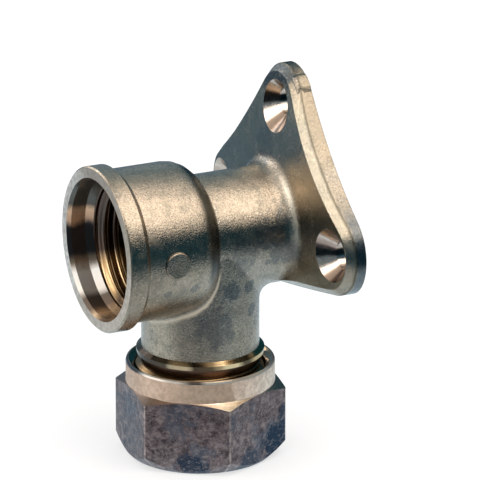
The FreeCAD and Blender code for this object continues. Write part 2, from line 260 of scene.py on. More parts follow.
# Tarnish spots and spots of painted shade that the photograph shows: centre and radius in millimetres,
# strength
SPOT_RAGGED = 1.4
STAINS_AND_SHADE = (
    ((9.35, -15.75, -6.9), 1.9, 0.8),
    ((8.05, -11.9, -6.85), 1.1, 0.7),
    ((7.75, -11.45, -11.2), 1.0, 0.65),
    ((9.2, -18.4, -13.0), 3.2, 0.55),
    ((9.0, -13.5, -3.6), 1.5, 0.4),
    ((11.4, -23.2, -4.6), 0.9, 0.55),
    ((11.3, -27.6, -4.85), 0.7, 0.5),
    ((9.2, -9.4, 1.6), 2.6, 0.6),
    ((24.6, -1.4, 2.2), 2.6, 0.7),
    ((9.3, -7.0, -1.4), 2.8, 0.65),
    ((8.8, -6.6, 3.4), 1.6, 0.5),
    ((-2.0, -4.7, 12.6), 3.0, 0.6),
    ((6.0, -4.6, 15.4), 4.2, 0.40),
    ((8.6, -13.6, -0.6), 2.4, 0.45),
    ((-2.0, -3.6, 25.2), 4.0, 0.95),
    ((1.8, -3.4, 25.4), 2.6, 0.9),
)

# Colours of the nut's flats, and their stains told as above
OXIDE_TONES = ((0.38, (0.06, 0.042, 0.045)), (0.50, (0.18, 0.128, 0.122)), (0.62, (0.36, 0.262, 0.235)))
RUB_TONES = ((0.38, (0.15, 0.15, 0.15)), (0.60, WHITE))
BLUE_OXIDE = (0.09, 0.11, 0.14)
BLUE_BLACK = (0.018, 0.035, 0.06)
SCUFF_LIGHT = (0.52, 0.40, 0.35)
SCUFF_STRETCH = (900.0, 900.0, 1900.0)
RUBBED_BRASS = (0.62, 0.47, 0.40)
PALE_SPECK = (0.62, 0.51, 0.45)
NUT_STAINS = (
    ((-1.15, -28.7, -30.5), 5.5, 0.35),
    ((9.0, -7.6, -33.8), 3.6, 1.0),
    ((7.8, -5.6, -30.0), 2.4, 0.85),
    ((10.2, -22.8, -35.0), 2.4, 0.8),
    ((11.8, -14.0, -34.6), 2.0, 0.6),
)

# Turned brass: plain colours, and how closely the tool marks follow each other along X, Y and Z
BORED_COLOUR = (0.72, 0.56, 0.42)
# the spigot under the band and its thread are darkened as painted shade for the gap above the nut
SPIGOT_SHADE_COLOUR = (0.16, 0.10, 0.07)
SPIGOT_THREAD_SHADE_COLOUR = (0.36, 0.23, 0.11)
NUT_BORE_COLOUR = (0.50, 0.36, 0.22)
OLIVE_COLOUR = (0.74, 0.55, 0.34)
PIT_BROWN = (0.30, 0.21, 0.15)
PATCH_SHADE = 0.80
ROUGHNESS_SPREAD = (0.7, 1.3)
TONE_WANDER = 0.02
FINE_MARK = 0.02
ALONG_SOCKET = (150.0, 5000.0, 150.0)
ALONG_BRANCH = (150.0, 150.0, 5000.0)
ALL_ROUND = (900.0, 900.0, 900.0)
# Axes that painted reflections run round: the two coordinates across, and where the axis stands in them
SOCKET_AXIS = ("XZ", (0.0, 0.0))
BRANCH_AXIS = ("XY", (0.0, BRANCH_Y))
# Painted reflections and highlights round turned faces: share of a turn from the first coordinate towards the
# second, colour.
# First the counterbore's wall, the socket's thread, the mouth's ring and the countersinks
# painted reflections and highlights round the counterbore's wall
PAINTED_WALL_REFLECTIONS = (
    (0.00, (0.44, 0.31, 0.20)),
    (0.30, (0.13, 0.125, 0.11)),
    (0.44, (0.11, 0.105, 0.09)),
    (0.46, (0.82, 0.54, 0.34)),
    (0.48, (0.66, 0.42, 0.27)),
    (0.495, (0.04, 0.035, 0.035)),
    (0.56, (0.04, 0.035, 0.035)),
    (0.58, (0.40, 0.29, 0.20)),
    (0.60, (1.00, 0.94, 0.86)),
    (0.65, (0.96, 0.86, 0.74)),
    (0.675, (0.16, 0.12, 0.09)),
    (0.705, (0.20, 0.14, 0.10)),
    (0.73, (0.90, 0.62, 0.37)),
    (0.77, (0.34, 0.23, 0.15)),
    (0.82, (0.40, 0.28, 0.18)),
)
# painted reflections and highlights round the socket's thread
PAINTED_THREAD_REFLECTIONS = (
    (0.00, (0.40, 0.26, 0.13)),
    (0.30, (0.16, 0.11, 0.07)),
    (0.38, (0.13, 0.095, 0.075)),
    (0.56, (0.10, 0.07, 0.055)),
    (0.60, (0.70, 0.48, 0.26)),
    (0.67, (0.62, 0.42, 0.22)),
    (0.72, (0.16, 0.11, 0.07)),
    (0.80, (0.46, 0.30, 0.16)),
)
# painted highlight round the mouth's ring
PAINTED_RING_HIGHLIGHTS = (
    (0.00, (0.58, 0.49, 0.39)),
    (0.29, (0.58, 0.50, 0.42)),
    (0.35, (1.00, 0.93, 0.83)),
    (0.60, (1.00, 0.92, 0.82)),
    (0.67, (0.60, 0.52, 0.44)),
    (0.90, (0.68, 0.58, 0.47)),
)
# painted reflections and highlights round each countersink
PAINTED_HOLE_REFLECTIONS = (
    (0.00, (0.60, 0.46, 0.34)),
    (0.25, (0.42, 0.30, 0.22)),
    (0.40, (0.82, 0.66, 0.54)),
    (0.455, (0.62, 0.47, 0.38)),
    (0.475, (0.07, 0.055, 0.05)),
    (0.535, (0.05, 0.045, 0.045)),
    (0.56, (0.88, 0.77, 0.67)),
    (0.645, (0.84, 0.70, 0.58)),
    (0.67, (0.46, 0.33, 0.24)),
    (0.73, (0.30, 0.21, 0.15)),
    (0.77, (0.06, 0.05, 0.05)),
    (0.83, (0.50, 0.38, 0.28)),
)
# Then the band under the branch, and the nut's collar, rim and upper chamfer
# painted reflections round the band under the branch
PAINTED_BAND_REFLECTIONS = (
    (0.00, (0.80, 0.58, 0.32)),
    (0.03, (0.80, 0.58, 0.32)),
    (0.05, (0.12, 0.085, 0.05)),
    (0.07, (0.12, 0.085, 0.05)),
    (0.09, (0.56, 0.39, 0.19)),
    (0.30, (0.46, 0.32, 0.16)),
    (0.66, (0.30, 0.22, 0.12)),
    (0.74, (0.07, 0.055, 0.045)),
    (0.84, (0.10, 0.075, 0.05)),
    (0.865, (0.78, 0.58, 0.34)),
    (0.895, (0.78, 0.58, 0.34)),
    (0.91, (0.10, 0.07, 0.04)),
    (0.96, (0.16, 0.11, 0.06)),
    (0.985, (0.80, 0.58, 0.32)),
)
# painted highlight on one side of the nut's collar
PAINTED_COLLAR_HIGHLIGHTS = (
    (0.00, (0.84, 0.64, 0.49)),
    (0.04, (1.00, 0.80, 0.64)),
    (0.10, (1.00, 0.86, 0.72)),
    (0.18, (1.00, 0.86, 0.72)),
    (0.50, (0.70, 0.50, 0.38)),
    (0.82, (0.66, 0.48, 0.36)),
    (0.93, (0.60, 0.44, 0.32)),
)
# painted reflections round the nut's rim
PAINTED_RIM_REFLECTIONS = (
    (0.00, (0.90, 0.74, 0.56)),
    (0.10, (1.00, 0.88, 0.74)),
    (0.17, (0.42, 0.33, 0.27)),
    (0.30, (0.16, 0.14, 0.13)),
    (0.66, (0.08, 0.08, 0.09)),
    (0.77, (0.10, 0.10, 0.10)),
    (0.80, (1.00, 0.88, 0.76)),
    (0.885, (1.00, 0.86, 0.72)),
    (0.905, (0.20, 0.16, 0.14)),
    (0.925, (0.20, 0.16, 0.14)),
    (0.945, (1.00, 0.88, 0.74)),
)
# painted highlight and painted shade round the nut's upper chamfer
PAINTED_CHAMFER_LIGHT_AND_SHADE = (
    (0.00, (0.95, 0.82, 0.62)),
    (0.06, (0.70, 0.56, 0.42)),
    (0.30, (0.45, 0.34, 0.27)),
    (0.72, (0.32, 0.24, 0.20)),
    (0.86, (0.36, 0.27, 0.22)),
    (0.92, (0.80, 0.62, 0.48)),
    (0.97, (0.95, 0.82, 0.62)),
)

# Kinds of face, which are the numbers of the materials on the body and on the nut
FORGED, BORED, MOUTH_RING, BAND, SPIGOT, COUNTERBORE, FIRST_SINK = range(7)
FLAT, COLLAR, NUT_BORE, CHAMFER, RIM = range(5)


# Meshes and objects
def placed(name, data):
    """Object put into the scene."""
    holder = bpy.data.objects.new(name, data)
    bpy.context.scene.collection.objects.link(holder)
    return holder


def new_object(name, mesh, body):
    """Visible piece that rides on a body."""
    piece = placed(name, mesh)
    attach(piece, body)
    return piece


def mesh_from(name, points, faces):
    """Mesh from points in millimetres."""
    mesh = bpy.data.meshes.new(name)
    mesh.from_pydata([tuple(p) for p in np.asarray(points) * MM], [], faces)
    mesh.update()
    return mesh


def grid_faces(rows, columns, closed):
    """Quads between rings of points, point index = row * columns + column; closed joins last and first."""
    faces = []
    for row in range(rows if closed else rows - 1):
        above = (row + 1) % rows
        for column in range(columns):
            beside = (column + 1) % columns
            faces.append((row * columns + column, row * columns + beside,
                          above * columns + beside, above * columns + column))
    return faces


def face_outward(mesh, crease_degrees=None):
    """Turn the faces outward, and shade them smooth up to the crease angle where one is given."""
    work = bmesh.new()
    work.from_mesh(mesh)
    bmesh.ops.recalc_face_normals(work, faces=work.faces)
    if crease_degrees is not None:
        for face in work.faces:
            face.smooth = True
        for edge in work.edges:
            edge.smooth = math.degrees(edge.calc_face_angle(0.0)) < crease_degrees
    work.to_mesh(mesh)
    work.free()


# Materials
class Nodes:
    """Short way to add and link shader nodes; places are told in millimetres of the row frame."""

    def __init__(self, name):
        self.material = bpy.data.materials.new(name)
        self.material.use_nodes = True
        self.tree = self.material.node_tree
        self.shader = self.tree.nodes["Principled BSDF"]
        self.place = self.node("TexCoord").outputs["Object"]

    def link(self, source, target):
        self.tree.links.new(source, target)

    def feed(self, socket, value):
        """Link another node's output to a socket, or set the socket to a number, a vector or a colour."""
        if hasattr(value, "is_linked"):
            self.link(value, socket)
        elif socket.type == "RGBA":
            socket.default_value = (*value, 1.0)
        else:
            socket.default_value = value

    def node(self, kind, **inputs):
        """New node with the named inputs fed."""
        node = self.tree.nodes.new("ShaderNode" + kind)
        for name, value in inputs.items():
            self.feed(node.inputs[name], value)
        return node

    def noise(self, scale, detail, rough=0.55, vector=None):
        where = vector or self.place
        return self.node("TexNoise", Scale=scale, Detail=detail, Roughness=rough, Vector=where).outputs["Fac"]

    def ramp(self, value, stops):
        node = self.node("ValToRGB", Fac=value)
        ramp = node.color_ramp
        while len(ramp.elements) < len(stops):
            ramp.elements.new(0.5)
        for element, (position, colour) in zip(ramp.elements, stops):
            element.position = position
            element.color = (*colour, 1.0)
        return node.outputs["Color"]

    def fade(self, value, start, end):
        """Black up to the start and white past the end, whichever of the two is the higher value."""
        return self.ramp(value, sorted(((start, BLACK), (end, WHITE))))

    def mix(self, factor, first, second):
        node = self.node("Mix", Factor=factor)
        node.data_type = "RGBA"
        colours = [socket for socket in node.inputs if socket.type == "RGBA"]
        self.feed(colours[0], first)
        self.feed(colours[1], second)
        return next(socket for socket in node.outputs if socket.type == "RGBA")

    def tint(self, colour, mask, other, strength):
        """The colour with another one laid over it, as far as the mask and the strength say."""
        return self.mix(self.math("MULTIPLY", mask, strength), colour, other)

    def math(self, operation, first, second=0.0):
        node = self.node("Math")
        node.operation = operation
        self.feed(node.inputs[0], first)
        self.feed(node.inputs[1], second)
        return node.outputs[0]

    def product(self, first, *others):
        for other in others:
            first = self.math("MULTIPLY", first, other)
        return first

    def mapped(self, value, side, low, high):
        ends = {side + " Min": low, side + " Max": high}
        return self.node("MapRange", Value=value, **ends).outputs["Result"]

    def span(self, value, low, high):
        """A value from 0 to 1, brought to the range from low to high."""
        return self.mapped(value, "To", low, high)

    def rise(self, value, start, end):
        """0 before the start, 1 past the end, straight between them."""
        return self.mapped(value, "From", start, end)

    def window(self, value, low, high, soft):
        """1 between two values, with soft ends inside them."""
        return self.math("MULTIPLY", self.rise(value, low, low + soft), self.rise(value, high, high - soft))

    def vector_math(self, operation, first, second=(0.0, 0.0, 0.0)):
        node = self.node("VectorMath")
        node.operation = operation
        self.feed(node.inputs[0], first)
        self.feed(node.inputs[1], second)
        return node

    def socket_radius(self):
        """Distance from the socket's axis."""
        across = self.vector_math("MULTIPLY", self.place, (1.0 / MM, 0.0, 1.0 / MM))
        return self.vector_math("LENGTH", across.outputs["Vector"]).outputs["Value"]

    def along(self, axis):
        """One coordinate of the row frame."""
        return self.math("DIVIDE", self.node("SeparateXYZ", Vector=self.place).outputs[axis], MM)

    def stretched(self, scale):
        """Place, scaled by a factor of its own on each axis."""
        return self.node("Mapping", Scale=scale, Vector=self.place).outputs["Vector"]

    def spot(self, centre, radius):
        """1 inside a ragged spot round a point and 0 outside it."""
        away = self.vector_math("DISTANCE", self.place, tuple(c * MM for c in centre)).outputs["Value"]
        swing = SPOT_RAGGED * radius * MM
        ragged = self.span(self.noise(scale=520.0, detail=5.0, rough=0.65), -swing, swing)
        reach = self.math("ADD", away, ragged)
        return self.fade(self.math("DIVIDE", reach, 2.0 * radius * MM), start=0.54, end=0.40)

    def bump(self, height, distance, strength, below=None):
        node = self.node("Bump", Distance=distance * MM, Strength=strength, Height=height)
        if below is not None:
            self.link(below, node.inputs["Normal"])
        return node.outputs["Normal"]

    def tool_marks(self, grooves, depth):
        """Normal of a turned face."""
        marks = self.noise(scale=1.0, detail=2.0, rough=0.5, vector=self.stretched(grooves))
        return self.bump(marks, depth, strength=0.4)

    def background_rays(self):
        """1 for the rays that see the background: camera, glossy and transmission."""
        path = self.node("LightPath")
        seen = self.math("MAXIMUM", path.outputs["Is Camera Ray"], path.outputs["Is Glossy Ray"])
        return self.math("MAXIMUM", seen, path.outputs["Is Transmission Ray"])

    def surface(self, colour, metal, roughness, normal):
        """Feed the shader and return the material."""
        self.feed(self.shader.inputs["Base Color"], colour)
        self.feed(self.shader.inputs["Metallic"], metal)
        self.feed(self.shader.inputs["Roughness"], roughness)
        self.feed(self.shader.inputs["Normal"], normal)
        return self.material


class Forging(Nodes):
    """Material of the shot-blasted forging, with where a point lies on it."""

    def __init__(self):
        super().__init__("forged_brass")
        self.radius = self.socket_radius()
        self.depth = self.along("Y")
        self.height = self.along("Z")
        self.ragged = self.span(self.noise(scale=700.0, detail=4.0), -RAGGED, RAGGED)

    def uneven(self, value, share):
        """A length with a ragged one added, so that edges drawn by it wander."""
        return self.math("ADD", value, self.math("MULTIPLY", self.ragged, share))

    def skin(self):
        """Warm and cool patches under stains, tarnish spots and painted shade spots, dark specks and bright
        grains.
        """
        colour = self.ramp(self.noise(scale=90.0, detail=5.0), FORGED_TONES)
        broad = self.fade(self.noise(scale=230.0, detail=7.0, rough=0.7), start=0.55, end=0.68)
        colour = self.tint(colour, broad, BROAD_STAIN, strength=0.6)
        fine = self.fade(self.noise(scale=420.0, detail=5.0, rough=0.6), start=0.50, end=0.62)
        colour = self.tint(colour, fine, FINE_STAIN, strength=0.45)
        # tarnish spots, some of them painted shade on the neck, the flare and the top lobe
        for centre, radius, strength in STAINS_AND_SHADE:
            colour = self.tint(colour, self.spot(centre, radius), TARNISH_AND_SHADE, strength)
        specks = self.fade(self.noise(scale=3400.0, detail=3.0, rough=0.7), start=0.50, end=0.34)
        colour = self.tint(colour, specks, DARK_SPECK, strength=0.65)
        grains = self.fade(self.noise(scale=2900.0, detail=3.0, rough=0.7), start=0.55, end=0.68)
        return self.tint(colour, grains, BRIGHT_GRAIN, strength=0.4)

    def plate_edges(self, colour):
        """Painted highlight on the plate's bevel, painted shade along the chamfer's outer edge, and painted
        shade on the right lobe's side wall and on the upper side wall.
        """
        dome = self.math("DIVIDE", self.math("POWER", self.radius, 2.0), -2.0 * DOME_R)
        past_edge = self.math("ADD", self.math("ADD", self.depth, dome), PLATE_THICKNESS - EDGE_CHAMFER)
        # painted highlight along the plate's bevel, fading out on the top lobe
        bevel_highlight = self.product(self.window(past_edge, *BEVEL_ZONE), self.rise(self.height, *BEVEL_RISE_Z))
        colour = self.tint(colour, bevel_highlight, PAINTED_BEVEL_HIGHLIGHT, strength=0.40)
        # painted shade line where the chamfer meets the side wall
        edge_shade = self.window(self.uneven(past_edge, share=0.5), *EDGE_SHADE_ZONE)
        colour = self.tint(colour, edge_shade, PAINTED_EDGE_SHADE, strength=0.8)
        # painted shade on the right lobe's side wall
        lobe_side_shade = self.product(self.rise(past_edge, *LOBE_SIDE_RISE),
                                 self.rise(self.along("X"), *LOBE_RISE_X),
                                 self.rise(self.uneven(self.height, share=4.0), *LOBE_RISE_Z))
        colour = self.tint(colour, lobe_side_shade, PAINTED_LOBE_SHADE, strength=0.7)
        # painted shade on the side wall, darker towards the top
        upper_side_shade = self.product(self.rise(past_edge, *UPPER_SIDE_RISE),
                                  self.rise(self.height, *UPPER_RISE_Z))
        return self.tint(colour, upper_side_shade, PAINTED_UPPER_SHADE, strength=0.5)

    def shoulder_shade(self, colour):
        """Dark tone round the upper part of the socket's back shoulder."""
        shade = self.product(self.window(self.uneven(self.depth, share=1.0), *SHADE_ZONE_Y),
                             self.window(self.radius, *SHADE_ZONE_R),
                             self.rise(self.height, *SHADE_RISE_Z))
        return self.tint(colour, shade, SHOULDER_SHADE, strength=0.9)

    def seam(self):
        """1 along the line where the shoulder meets the branch, where a highlight is painted."""
        past = self.math("MAXIMUM", self.math("SUBTRACT", self.depth, SHOULDER_Y), 0.0)
        past = self.math("MINIMUM", past, SHOULDER_LENGTH)
        curve = self.math("POWER", self.math("SUBTRACT", SHOULDER_ARC_R ** 2, self.product(past, past)), 0.5)
        off_shoulder = self.math("SUBTRACT", self.radius, curve)
        off_shoulder = self.math("SUBTRACT", off_shoulder, SOCKET_R - SHOULDER_ARC_R)
        return self.product(self.window(self.uneven(off_shoulder, share=0.5), *SEAM_ZONE),
                            self.window(self.depth, *SEAM_ZONE_Y),
                            self.rise(self.height, *SEAM_RISE_Z))

    def flare_highlight(self):
        """1 on the upper side of the fillet between the neck and the plate, where a highlight is painted."""
        return self.product(self.window(self.radius, *FLARE_ZONE_R),
                            self.window(self.depth, *FLARE_ZONE_Y),
                            self.window(self.height, *FLARE_ZONE_Z))

    def crease_shade(self):
        """1 in narrow hollows, where shade is painted."""
        node = self.node("AmbientOcclusion", Distance=CREASE_REACH * MM)
        node.only_local = True
        node.samples = NODE_SAMPLES
        return self.fade(node.outputs["AO"], start=0.80, end=0.55)

    def grain(self):
        """Normal with softened edges, the blasted grain and a slower waviness."""
        edges = self.node("Bevel", Radius=SOFT_EDGE * MM)
        edges.samples = NODE_SAMPLES
        fine = self.noise(scale=4200.0, detail=3.0, rough=0.65)
        grain = self.bump(fine, distance=0.09, strength=0.64, below=edges.outputs[0])
        return self.bump(self.noise(scale=900.0, detail=3.0), distance=0.08, strength=0.25, below=grain)


def forged_brass():
    n = Forging()
    seam = n.seam()
    flare_highlight = n.flare_highlight()
    colour = n.shoulder_shade(n.plate_edges(n.skin()))
    # painted highlight where the shoulder meets the branch
    colour = n.tint(colour, seam, PAINTED_SEAM_HIGHLIGHT, strength=0.7)
    # painted highlight on the neck-to-plate fillet
    colour = n.tint(colour, flare_highlight, PAINTED_FLARE_HIGHLIGHT, strength=0.75)
    # painted shade in narrow creases, from ambient occlusion
    colour = n.tint(colour, n.crease_shade(), PAINTED_CREASE_SHADE, strength=0.75)
    dull = n.fade(n.noise(scale=330.0, detail=6.0, rough=0.7), start=0.48, end=0.62)
    roughness = n.span(n.noise(scale=900.0, detail=3.0), low=0.12, high=0.24)
    for mask, more in ((dull, 0.10), (flare_highlight, 0.12)):
        roughness = n.math("ADD", roughness, n.math("MULTIPLY", mask, more))
    # less metal along the seam, so that its painted highlight shows light
    return n.surface(colour, n.span(seam, low=1.0, high=0.45), roughness, n.grain())


def turned_brass(name, colour, grooves, roughness):
    """Machined brass of one colour with faint patches."""
    n = Nodes(name)
    shaded = tuple(c * PATCH_SHADE for c in colour)
    patches = n.ramp(n.noise(scale=240.0, detail=4.0), ((0.35, shaded), (0.70, colour)))
    rough = n.span(n.noise(scale=1500.0, detail=2.0), *(roughness * share for share in ROUGHNESS_SPREAD))
    return n.surface(patches, 1.0, rough, n.tool_marks(grooves, FINE_MARK))


def painted_reflection_ring(name, painted_tones, axis, grooves, roughness, depth=FINE_MARK, metal=1.0, mottle=0.0):
    """Turned brass with painted reflections and highlights that change round an axis, with brown pits where
    it has a mottle.
    """
    n = Nodes(name)
    first, second = (n.math("SUBTRACT", n.along(letter), start) for letter, start in zip(*axis))
    turn = n.math("DIVIDE", n.math("ARCTAN2", second, first), FULL_TURN)
    wander = n.span(n.noise(scale=260.0, detail=3.0), -TONE_WANDER, TONE_WANDER)
    # painted reflections and highlights, by the angle round the axis
    colour = n.ramp(n.math("FRACT", n.math("ADD", turn, wander)), painted_tones)
    if mottle > 0.0:
        pits = n.fade(n.noise(scale=1100.0, detail=8.0, rough=0.75), start=0.60, end=0.42)
        colour = n.tint(colour, pits, PIT_BROWN, mottle)
    rough = n.span(n.noise(scale=1500.0, detail=2.0), *roughness)
    return n.surface(colour, metal, rough, n.tool_marks(grooves, depth))


def nut_brass():
    """Brown oxide on the hexagon, mottled, with blue-black stains and rubbed corners."""
    n = Nodes("nut_brass")
    colour = n.ramp(n.noise(scale=760.0, detail=9.0, rough=0.82), OXIDE_TONES)
    stains = n.fade(n.noise(scale=150.0, detail=6.0, rough=0.7), start=0.53, end=0.60)
    colour = n.tint(colour, stains, BLUE_OXIDE, strength=0.55)
    for centre, radius, strength in NUT_STAINS:
        colour = n.tint(colour, n.spot(centre, radius), BLUE_BLACK, strength)
    scratches = n.noise(scale=1.0, detail=4.0, rough=0.6, vector=n.stretched(SCUFF_STRETCH))
    colour = n.tint(colour, n.fade(scratches, start=0.54, end=0.66), SCUFF_LIGHT, strength=0.30)
    worn = n.node("Attribute")
    worn.attribute_name = "wear"
    rub = n.ramp(n.noise(scale=1300.0, detail=4.0, rough=0.6), RUB_TONES)
    colour = n.tint(colour, n.product(worn.outputs["Fac"], rub), RUBBED_BRASS, strength=0.75)
    specks = n.fade(n.noise(scale=3000.0, detail=3.0, rough=0.7), start=0.60, end=0.72)
    colour = n.tint(colour, specks, PALE_SPECK, strength=0.5)
    rough = n.span(n.noise(scale=900.0, detail=3.0), low=0.30, high=0.52)
    pitting = n.bump(n.noise(scale=2400.0, detail=4.0), distance=0.08, strength=0.7)
    return n.surface(colour, 1.0, rough, pitting)


def body_materials():
    """The body's materials in the order of its kinds of face."""
    materials = [
        forged_brass(),
        turned_brass("bored_brass", BORED_COLOUR, ALONG_SOCKET, roughness=0.11),
        painted_reflection_ring("mouth_ring", PAINTED_RING_HIGHLIGHTS, SOCKET_AXIS, ALL_ROUND,
                   roughness=(0.36, 0.52), depth=0.10, metal=0.88, mottle=0.45),
        painted_reflection_ring("band_brass", PAINTED_BAND_REFLECTIONS, BRANCH_AXIS, ALONG_BRANCH, roughness=(0.10, 0.18)),
        turned_brass("spigot_brass", SPIGOT_SHADE_COLOUR, ALONG_BRANCH, roughness=0.22),
        painted_reflection_ring("counterbore", PAINTED_WALL_REFLECTIONS, SOCKET_AXIS, ALONG_SOCKET, roughness=(0.16, 0.26), metal=0.78),
    ]
    for number, hole in enumerate(HOLES):
        materials.append(painted_reflection_ring(f"countersink_{number}", PAINTED_HOLE_REFLECTIONS, ("XZ", hole), ALONG_SOCKET,
                                    roughness=(0.14, 0.26), mottle=0.3))
    return materials


def nut_materials():
    """The nut's materials in the order of its kinds of face."""
    return [
        nut_brass(),
        painted_reflection_ring("nut_collar", PAINTED_COLLAR_HIGHLIGHTS, BRANCH_AXIS, ALONG_BRANCH,
                   roughness=(0.32, 0.60), depth=0.10, metal=0.68, mottle=0.45),
        turned_brass("nut_bore", NUT_BORE_COLOUR, ALONG_BRANCH, roughness=0.13),
        painted_reflection_ring("nut_chamfer", PAINTED_CHAMFER_LIGHT_AND_SHADE, BRANCH_AXIS, ALONG_BRANCH,
                   roughness=(0.22, 0.38), depth=0.06),
        painted_reflection_ring("nut_rim", PAINTED_RIM_REFLECTIONS, BRANCH_AXIS, ALONG_BRANCH, roughness=(0.26, 0.40), metal=0.85),
    ]


# Body
def body_kind(centre, normal):
    """Kind of a body face, from where it lies and which way it looks."""
    x, y, z = (c / MM for c in centre)
    if z < BAND_END_Z + EDGE_SLACK:
        return SPIGOT
    if z < BRANCH_END_Z - EDGE_SLACK:
        return BAND
    if math.hypot(x, y - BRANCH_Y) < WATERWAY_REACH and z < -BRANCH_WALL:
        return BORED
    if y < MOUTH_Y + EDGE_SLACK and normal.y < FACING_FRONT:
        return MOUTH_RING
    inward = normal.x * x + normal.z * z < INWARD
    if math.hypot(x, z) < MOUTH_REACH and y < BRANCH_Y and (inward or normal.y < LEANING_FRONT):
        return COUNTERBORE if abs(normal.y) < WALL_LEAN and y < THREAD_Y[0] else BORED
    for number, (hole_x, hole_z) in enumerate(HOLES):
        out_x = x - hole_x
        out_z = z - hole_z
        reach = math.hypot(out_x, out_z)
        if reach < HOLE_REACH and normal.x * out_x + normal.z * out_z < HOLE_INWARD * reach:
            return FIRST_SINK + number
    return FORGED


def nick_cutter(start, end, normal, width, depth):
    """Pyramid with a slit-shaped mouth just outside the surface and its tip under it."""
    start = Vector(start)
    end = Vector(end)
    normal = Vector(normal).normalized()
    along = (end - start).normalized()
    across = normal.cross(along).normalized()
    middle = (start + end) / 2.0
    lift = normal * NICK_LIFT
    points = [start + lift, middle - across * width + lift, end + lift, middle + across * width + lift,
              middle - normal * depth]
    faces = [(3, 2, 1, 0), (0, 1, 4), (1, 2, 4), (2, 3, 4), (3, 0, 4)]
    return placed("nick_cutter", mesh_from("nick_cutter", points, faces))


def lathe_cutter(name, profile, centre):
    """Closed solid of revolution about a line along Y through (x, z), from a list of (radius, y)."""
    columns = LATHE_COLUMNS
    points = []
    for radius, y in profile:
        for column in range(columns):
            turn = FULL_TURN * column / columns
            points.append((centre[0] + radius * math.cos(turn), y, centre[1] + radius * math.sin(turn)))
    last = (len(profile) - 1) * columns
    ends = [tuple(range(columns)), tuple(range(last, last + columns))]
    mesh = mesh_from(name, points, grid_faces(len(profile), columns, closed=False) + ends)
    face_outward(mesh)
    return placed(name, mesh)


def hole_cutter(hole):
    """Screw hole with its countersink, whose faces come out finely round."""
    front = PLATE_THICKNESS - DOME_R + math.sqrt(DOME_R ** 2 - hole[0] ** 2 - hole[1] ** 2)
    throat_r = SCREW_HOLE_R + RECUT
    mouth_r = COUNTERSINK_R + RECUT
    return lathe_cutter("hole_cutter", (
        (throat_r, BACK_OVERCUT),
        (throat_r, mouth_r - throat_r - front),
        (mouth_r + FRONT_OVERCUT, -front - FRONT_OVERCUT),
    ), hole)


def mouth_cutter():
    """Counterbore and lead-in of the socket, with the bevel of its edge."""
    bore_r = COUNTERBORE_R + RECUT
    return lathe_cutter("mouth_cutter", (
        (bore_r + MOUTH_BEVEL_WIDTH * (1.0 + MOUTH_OVERCUT / MOUTH_BEVEL_DEPTH), MOUTH_Y - MOUTH_OVERCUT),
        (bore_r, MOUTH_Y + MOUTH_BEVEL_DEPTH),
        (bore_r, MOUTH_Y + COUNTERBORE_DEPTH),
        (OUTLET_ROOT_R + RECUT, THREAD_Y[0]),
        (OUTLET_ROOT_R - LEAD_OVERLAP, THREAD_Y[0]),
    ), (0.0, 0.0))


def forging_lap():
    """Thin fold of metal that stands proud of the top lobe's side wall."""
    points = []
    for step in range(LAP_STEPS + 1):
        share = step / LAP_STEPS
        turn = math.radians(LAP_ARC[0] + (LAP_ARC[1] - LAP_ARC[0]) * share)
        root_r = TOP_LOBE_R - LAP_ROOT
        crest_r = TOP_LOBE_R + LAP_HEIGHT * min(1.0, LAP_RISE * share, LAP_FALL * (1.0 - share)) + LAP_LIFT
        profile = ((root_r, LAP_BACK_Y), (crest_r, LAP_BACK_Y), (crest_r, LAP_FRONT_Y[0]),
                   (crest_r - LAP_EDGE_BREAK, LAP_FRONT_Y[1]), (root_r, LAP_FRONT_Y[2]))
        for radius, y in profile:
            points.append((radius * math.cos(turn), y, TOP_LOBE_Z + radius * math.sin(turn)))
    count = len(profile)
    last = LAP_STEPS * count
    faces = [tuple(range(count)), tuple(reversed(range(last, last + count)))]
    for start in range(0, last, count):
        for side in range(count):
            beside = (side + 1) % count
            faces.append((start + side, start + count + side, start + count + beside, start + beside))
    mesh = mesh_from("forging_lap", points, faces)
    face_outward(mesh)
    return placed("forging_lap", mesh)


def smooth_corners(source):
    """The source's corner normals, averaged across the small creases of its stepped arcs."""
    keys = [tuple(round(c / WELD_M) for c in v.co) for v in source.vertices]
    fans = {}
    for loop, normal in zip(source.loops, source.corner_normals):
        fan = fans.setdefault(keys[loop.vertex_index], {})
        fan[tuple(round(c, NORMAL_DIGITS) for c in normal.vector)] = normal.vector.copy()
    corners = []
    for loop, normal in zip(source.loops, source.corner_normals):
        total = Vector()
        for other in fans[keys[loop.vertex_index]].values():
            if other.dot(normal.vector) > STEP_COSINE:
                total += other
        corners.append(total.normalized())
    return corners


def round_normal(place, flat):
    """Exact normal of a face of a screw hole or of the socket's mouth, or None elsewhere."""
    for hole_x, hole_z in HOLES:
        out = Vector((place.x - hole_x * MM, 0.0, place.z - hole_z * MM))
        if out.length < HOLE_REACH * MM and flat.dot(out) < HOLE_INWARD * out.length:
            inward = -out.normalized()
            if flat.y < CONE_LEAN:
                inward.y = -1.0
            return inward.normalized()
    out = Vector((place.x, 0.0, place.z))
    in_mouth = place.y < (THREAD_Y[0] + THREAD_SLACK) * MM and out.length < MOUTH_REACH * MM
    if in_mouth and flat.dot(out) < MOUTH_INWARD * out.length:
        inward = -out.normalized()
        inward.y = flat.y / math.sqrt(1.0 - flat.y ** 2)
        return inward.normalized()
    return None


